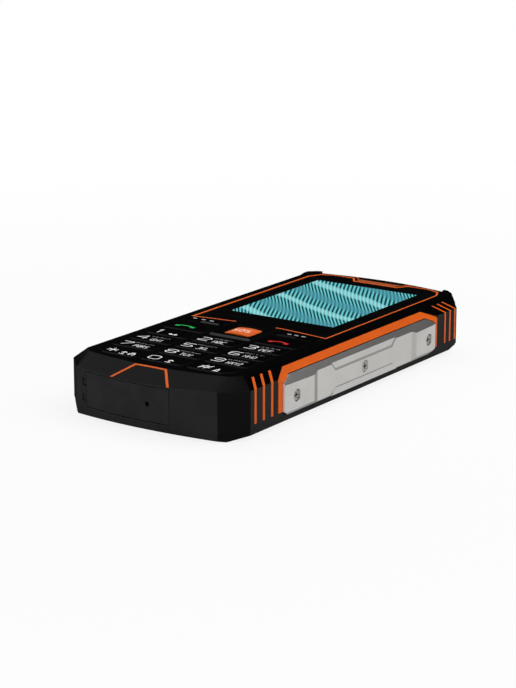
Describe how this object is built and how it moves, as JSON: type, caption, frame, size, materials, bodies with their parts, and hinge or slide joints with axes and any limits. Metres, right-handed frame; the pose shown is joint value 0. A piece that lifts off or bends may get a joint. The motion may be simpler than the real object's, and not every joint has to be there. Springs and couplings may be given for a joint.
{
  "type": "feature phone",
  "caption": "Rugged candy-bar feature phone with a small display over a raised keypad, metal side plates in orange trim, and a hinged port flap.",
  "frame": {"origin": "middle of the rear face, below the middle of the body", "axes": "+X to the right across the body, +Y along the body towards the earpiece, +Z out of the front face"},
  "size_m": [0.0632, 0.1324, 0.018],
  "materials": {
    "shell": "matte black moulded plastic",
    "inner_plastic": "dark moulded plastic",
    "seal": "black silicone",
    "flap": "black rubber",
    "screw": "plain steel",
    "metal": "plain sheet metal",
    "plate": "bead-blasted metal",
    "orange": "satin orange plastic",
    "mesh": "woven mesh",
    "lens": "clear hardened glass",
    "tape": "black adhesive film",
    "panel": "display panel",
    "backlight": "white diffuser in a frame",
    "board": "green laminate",
    "contact": "gold-plated contacts",
    "battery": "plain pouch in a sleeve",
    "lamp": "clear moulded lens",
    "key": "matte black silicone"
  },
  "bodies": {
    "phone": {"front_housing": "shell", "rear_housing": "shell", "mid_frame": "inner_plastic", "battery_cover": "shell", "cover_seal": "seal", "cover_screws": "screw", "housing_screws": "screw", "housing_seal": "seal", "display_lens": "lens", "lens_tape": "tape", "lens_trim": "orange", "display_panel": "panel", "display_backlight": "backlight", "earpiece_mesh": "mesh", "earpiece": "metal", "key_mat": "seal", "dome_sheet": "metal", "main_board": "board", "shield_cans": "metal", "card_sockets": "metal", "battery_contacts": "contact", "battery": "battery", "loudspeaker": "inner_plastic", "speaker_mesh": "metal", "vibration_motor": "metal", "camera_module": "inner_plastic", "camera_window": "lens", "flash_led": "lamp", "charging_socket": "metal", "audio_jack": "inner_plastic", "microphone": "metal", "antenna_carrier": "inner_plastic", "side_plate_left": "plate", "side_plate_right": "plate", "side_trim_left": "orange", "side_trim_right": "orange", "plate_screws": "screw", "corner_stripes": "orange", "bottom_accent": "orange"},
    "key_1": {"key_1": "key"},
    "key_2": {"key_2": "key"},
    "key_3": {"key_3": "key"},
    "key_4": {"key_4": "key"},
    "key_5": {"key_5": "key"},
    "key_6": {"key_6": "key"},
    "key_7": {"key_7": "key"},
    "key_8": {"key_8": "key"},
    "key_9": {"key_9": "key"},
    "key_star": {"key_star": "key"},
    "key_0": {"key_0": "key"},
    "key_hash": {"key_hash": "key"},
    "call_key": {"call_key": "key"},
    "end_key": {"end_key": "key"},
    "left_soft_key": {"left_soft_key": "key"},
    "right_soft_key": {"right_soft_key": "key"},
    "nav_web": {"nav_web": "seal"},
    "nav_ring": {"nav_ring": "key"},
    "centre_key": {"centre_key": "orange"},
    "port_flap": {"port_flap": "flap"}
  },
  "joints": [
    {"name": "key_1_press", "type": "slide", "parent": "phone", "child": "key_1", "axis": [0, 0, -1], "range_m": [0, 0.00035], "stiffness_N_per_m": 300},
    {"name": "key_2_press", "type": "slide", "parent": "phone", "child": "key_2", "axis": [0, 0, -1], "range_m": [0, 0.00035], "stiffness_N_per_m": 300},
    {"name": "key_3_press", "type": "slide", "parent": "phone", "child": "key_3", "axis": [0, 0, -1], "range_m": [0, 0.00035], "stiffness_N_per_m": 300},
    {"name": "key_4_press", "type": "slide", "parent": "phone", "child": "key_4", "axis": [0, 0, -1], "range_m": [0, 0.00035], "stiffness_N_per_m": 300},
    {"name": "key_5_press", "type": "slide", "parent": "phone", "child": "key_5", "axis": [0, 0, -1], "range_m": [0, 0.00035], "stiffness_N_per_m": 300},
    {"name": "key_6_press", "type": "slide", "parent": "phone", "child": "key_6", "axis": [0, 0, -1], "range_m": [0, 0.00035], "stiffness_N_per_m": 300},
    {"name": "key_7_press", "type": "slide", "parent": "phone", "child": "key_7", "axis": [0, 0, -1], "range_m": [0, 0.00035], "stiffness_N_per_m": 300},
    {"name": "key_8_press", "type": "slide", "parent": "phone", "child": "key_8", "axis": [0, 0, -1], "range_m": [0, 0.00035], "stiffness_N_per_m": 300},
    {"name": "key_9_press", "type": "slide", "parent": "phone", "child": "key_9", "axis": [0, 0, -1], "range_m": [0, 0.00035], "stiffness_N_per_m": 300},
    {"name": "key_star_press", "type": "slide", "parent": "phone", "child": "key_star", "axis": [0, 0, -1], "range_m": [0, 0.00035], "stiffness_N_per_m": 300},
    {"name": "key_0_press", "type": "slide", "parent": "phone", "child": "key_0", "axis": [0, 0, -1], "range_m": [0, 0.00035], "stiffness_N_per_m": 300},
    {"name": "key_hash_press", "type": "slide", "parent": "phone", "child": "key_hash", "axis": [0, 0, -1], "range_m": [0, 0.00035], "stiffness_N_per_m": 300},
    {"name": "call_key_press", "type": "slide", "parent": "phone", "child": "call_key", "axis": [0, 0, -1], "range_m": [0, 0.00035], "stiffness_N_per_m": 300},
    {"name": "end_key_press", "type": "slide", "parent": "phone", "child": "end_key", "axis": [0, 0, -1], "range_m": [0, 0.00035], "stiffness_N_per_m": 300},
    {"name": "left_soft_key_press", "type": "slide", "parent": "phone", "child": "left_soft_key", "axis": [0, 0, -1], "range_m": [0, 0.00035], "stiffness_N_per_m": 300},
    {"name": "right_soft_key_press", "type": "slide", "parent": "phone", "child": "right_soft_key", "axis": [0, 0, -1], "range_m": [0, 0.00035], "stiffness_N_per_m": 300},
    {"name": "nav_roll", "type": "hinge", "parent": "phone", "child": "nav_web", "pos_m": [0, -0.0153, 0.01392], "axis": [0, 1, 0], "range_deg": [-1.8, 1.8], "stiffness_Nm_per_rad": 0.4},
    {"name": "nav_pitch", "type": "hinge", "parent": "nav_web", "child": "nav_ring", "pos_m": [0, -0.0153, 0.0146], "axis": [1, 0, 0], "range_deg": [-1.8, 1.8], "stiffness_Nm_per_rad": 0.4},
    {"name": "centre_key_press", "type": "slide", "parent": "phone", "child": "centre_key", "axis": [0, 0, -1], "range_m": [0, 0.00035], "stiffness_N_per_m": 300},
    {"name": "flap_hinge", "type": "hinge", "parent": "phone", "child": "port_flap", "pos_m": [-0.0209, -0.06298, 0.0085], "axis": [0, 0, -1], "range_deg": [0, 100]}
  ]
}
